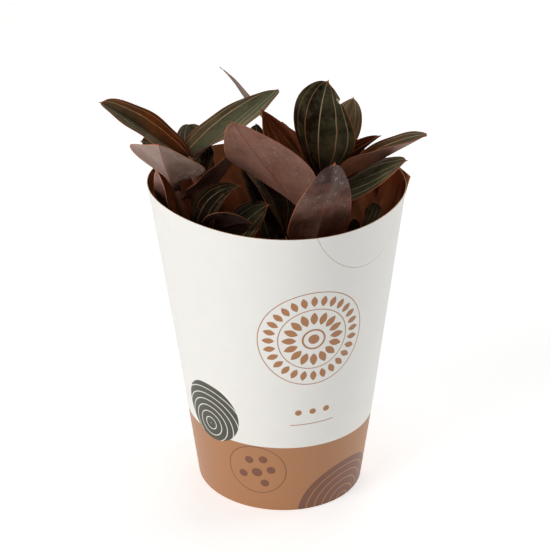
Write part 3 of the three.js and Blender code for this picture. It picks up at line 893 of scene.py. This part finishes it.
# The upper face is dark and velvety, olive where it is pale and red where its red value is high. Its
# light value also paints light and shade on it, its red value partly paints light shining through it,
# and it is darkened towards the stalk with painted shade. Its veins and its margin are coppery, and
# cream on the palest leaves.
leaf_top, shader, tone = finish("leaf_upper_face")
along = leaf_share(tone, "X")
across = leaf_share(tone, "Y") * 2 - 1
half = leaf_value(tone, "half_width")
from_middle = abs(across) * half
redness_and_glow = leaf_value(tone, "red_and_glow")
shade = leaf_value(tone, "light")
place = tone.node("TexCoord", out="Object")
wobble = (tone.noise(place, 110.0, 2.0) - 0.5) * 0.0012
blotch = tone.noise(place, 55.0, 5.0, 0.62)
grain = tone.noise(place, 420.0, 3.0)
velvet = tone.noise(place, 2200.0, 3.0)
vein = half * 0.0165 + 0.0001
midrib = (from_middle + wobble * 0.3).under(vein * 0.8, 0.0002)
inner_vein = abs(from_middle - half * VEINS[1] + wobble).under(vein * 0.85, 0.0002)
outer_vein = abs(from_middle - half * VEINS[2] + wobble * 0.5).under(vein * 0.7, 0.0002)
side_veins = inner_vein.either(outer_vein * 0.8)
net_place = tone.node("CombineXYZ", {"X": along * 30, "Y": across * half * 600, "Z": shade * 40})
net = tone.node("TexVoronoi", {"Vector": net_place, "Scale": 1.0}, feature="DISTANCE_TO_EDGE")
net_lines = net.under(0.05, 0.08)
olive = tone.noise(place, 24.0).blend(paint("786c54"), paint("627052"))
olive = ((shade - 1.25) * 2).clipped().blend(olive, paint("b39c74"))
green = (blotch * 1.8 + grain * 0.5 + shade - 1.12).clipped().blend(paint("14140c"), olive)
reddest = (redness_and_glow - 0.9).clipped().blend(paint("94501c"), paint("a03c0c"))
red = (blotch * 1.4 + grain * 0.4 - 0.4).clipped().blend(paint("32130a"), reddest)
skin = (redness_and_glow * (blotch + 0.5)).clipped().blend(green, red)
# Painted shade: the blade darkens to near black towards the stalk, deep in the rosette.
painted_stalk_shade = (0.5 - along * 1.25).clipped()
skin = painted_stalk_shade.blend(skin, paint("120b06"))
skin = (net_lines * shade * 0.12).blend(skin, paint("8a6a4a"))
copper = grain.blend(paint("b0744c"), paint("cc9876"))
paling = ((along - 0.25) * 3 - redness_and_glow).clipped()
side_colour = (paling * shade * 1.2).clipped().blend(copper, paint("d8c29c"))
middle_colour = paling.blend(copper, paint("d8c29c"))
clear = (shade * 1.8 + 0.27 - (redness_and_glow - 0.9).clipped() * 0.5).clipped()
skin = (side_veins * clear * (0.75 + blotch * 0.6 - painted_stalk_shade * 0.6)).clipped().blend(skin, side_colour)
skin = (midrib * clear * (0.9 + blotch * 0.4 - painted_stalk_shade * 0.6)).clipped().blend(skin, middle_colour)
skin = along.under(0.1, 0.1).blend(skin, paint("4c2b1e"))
skin = ((1 - along).under(0.035, 0.05) * (shade * 3).clipped()).blend(skin, paint("b0562c"))
margin = (from_middle - half + 0.0006).under(0, -0.0003)
skin = (margin * clear * (along * 6 - 0.9).clipped()).clipped().blend(skin, paint("b4683f"))
tear = abs(along - leaf_value(tone, "torn")).under(0.016, 0.006) * (across * -1).under(0.74, -0.06)
skin = tear.blend(skin, paint("efe2c4"))
spot = ((along - leaf_value(tone, "spot")) ** 2 + ((across - 0.3) * 0.3) ** 2) ** 0.5
skin = spot.under(0.028, 0.012).blend(skin, paint("2b140b"))
feed(shader, "Base Color", skin)
feed(shader, "Roughness", 0.46 + blotch * 0.14)
feed(shader, "Normal", bumped(tone, velvet * 0.2 + net_lines * 0.5 - side_veins - midrib, 0.35, 0.0002))
shader["Specular IOR Level"].default_value = 0.03

# The lower face is smooth and mauve to maroon, with painted sheen in streaks along its length, with red
# veins, and the dust on it has dried in specks and rings.
leaf_under, shader, tone = finish("leaf_lower_face")
along = leaf_share(tone, "X")
across = leaf_share(tone, "Y") * 2 - 1
half = leaf_value(tone, "half_width")
from_middle = abs(across) * half
powder = leaf_value(tone, "dust")
redness_and_glow = leaf_value(tone, "red_and_glow")
shade = leaf_value(tone, "light")
place = tone.node("TexCoord", out="Object")
wobble = (tone.noise(place, 110.0, 2.0) - 0.5) * 0.0012
blotch = tone.noise(place, 70.0, 5.0, 0.65)
cloud = tone.noise(place, 26.0, 3.0)
velvet = tone.noise(place, 2200.0, 3.0)
# Painted sheen: pale streaks along the leaf.
sheen_streak_place = tone.node("CombineXYZ", {"X": along * 5, "Y": across * half * 900})
streak = tone.noise(sheen_streak_place, 1.0, 3.0)
vein = half * 0.012 + 0.00008
midrib = (from_middle + wobble * 0.3).under(vein, 0.0003)
inner_vein = abs(from_middle - half * VEINS[1] + wobble).under(vein * 0.6, 0.0004)
veins = midrib.either(inner_vein * 0.4)
flush = (cloud * 0.4 + redness_and_glow * 0.9 - 0.1).clipped()
dark = flush.blend(paint("2a1b15"), paint("3c140c"))
pale = flush.blend(paint("ab9c8e"), paint("c27a62"))
# Painted light: where the light value is over 1.25 the lower face turns a bright coral, for light shining
# through the leaf.
pale = ((shade - 1.25) * 4).clipped().blend(pale, paint("f0a080"))
skin = (blotch * 0.85 + streak * 0.12 + shade * 0.68 - 0.58).clipped().blend(dark, pale)
skin = (veins * (shade * 0.8 + 0.1)).clipped().blend(skin, paint("863a36"))
cells = tone.node("TexVoronoi", {"Vector": place, "Scale": 290.0})
dots = tone.node("TexVoronoi", {"Vector": place, "Scale": 520.0})
dusted = tone.noise(place, 60.0, 3.0).under(0.47, -0.1)
broken = tone.noise(place, 330.0, 2.0).under(0.55, -0.06)
specks = (dots.under(0.2, 0.12) * 0.6).either(abs(cells - 0.24).under(0.045, 0.07) * broken)
specks = specks * dusted * powder
skin = (specks * 0.7).blend(skin, paint("cbbab2"))
skin = (dusted * powder * 0.12).blend(skin, paint("b3a094"))
# Painted shade: darker towards the stalk, and less so where the dust value is high.
painted_stalk_shade = (0.3 - along * 1.2 - powder * 0.3).clipped()
skin = painted_stalk_shade.blend(skin, paint("5a3428"))
margin = (from_middle - half + 0.00055).under(0, -0.0003)
skin = (margin * (shade * 1.3 - 0.25)).clipped().blend(skin, paint("b4694c"))
skin = (1 - along).under(0.02, 0.03).blend(skin, paint("b0562c"))
feed(shader, "Base Color", skin)
feed(shader, "Roughness", 0.42 + blotch * 0.14 + specks * 0.2)
feed(shader, "Normal", bumped(tone, velvet * 0.2 + veins + streak * 0.4 + blotch, 0.3, 0.00022))
shader["Specular IOR Level"].default_value = 0.25

# The thin edge between the two faces is coral, and brown near the stalk; it also follows the leaf's light
# value, so it carries painted shade and is brown on the darkest leaves.
leaf_rim, shader, tone = finish("leaf_margin")
from_stalk = (leaf_share(tone, "X") * 4 - 0.6).clipped()
rim_paleness_and_light = ((leaf_value(tone, "light") * 4 - 0.1) * from_stalk).clipped()
feed(shader, "Base Color", rim_paleness_and_light.blend(paint("3c2018"), paint("b87050")))
shader["Roughness"].default_value = 0.45

stem_flesh, shader, tone = finish("fleshy_stem")
place = tone.node("TexCoord", out="Object")
streak = tone.noise(tone.node("Mapping", {"Vector": place, "Scale": (1, 1, 0.25)}), 420.0, 4.0)
blotch = tone.noise(place, 110.0)
skin = (streak * 0.6 + blotch * 0.5).clipped().blend(paint("7a4834"), paint("b48064"))
feed(shader, "Base Color", skin)
feed(shader, "Roughness", 0.34 + blotch * 0.14)
feed(shader, "Normal", bumped(tone, streak, 0.2, 0.0003))

for number, (name, shoot) in enumerate(shoots.items()):
    stem = link_mesh(name + "_stem", grow_stem(shoot))
    stem.data.materials.append(stem_flesh)
    leaves = link_mesh(name + "_leaves", grow_leaves(shoot, random.Random(number)))
    leaves.vertex_groups.new(name="thickness")
    flesh = leaves.modifiers.new("flesh", "SOLIDIFY")
    flesh.thickness = STALK_THICKNESS
    flesh.offset = 0
    flesh.vertex_group = "thickness"
    flesh.material_offset = 1
    flesh.material_offset_rim = 2
    for material in (leaf_top, leaf_under, leaf_rim):
        leaves.data.materials.append(material)
    for piece in (stem, leaves):
        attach(piece, "root")
        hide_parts(name)
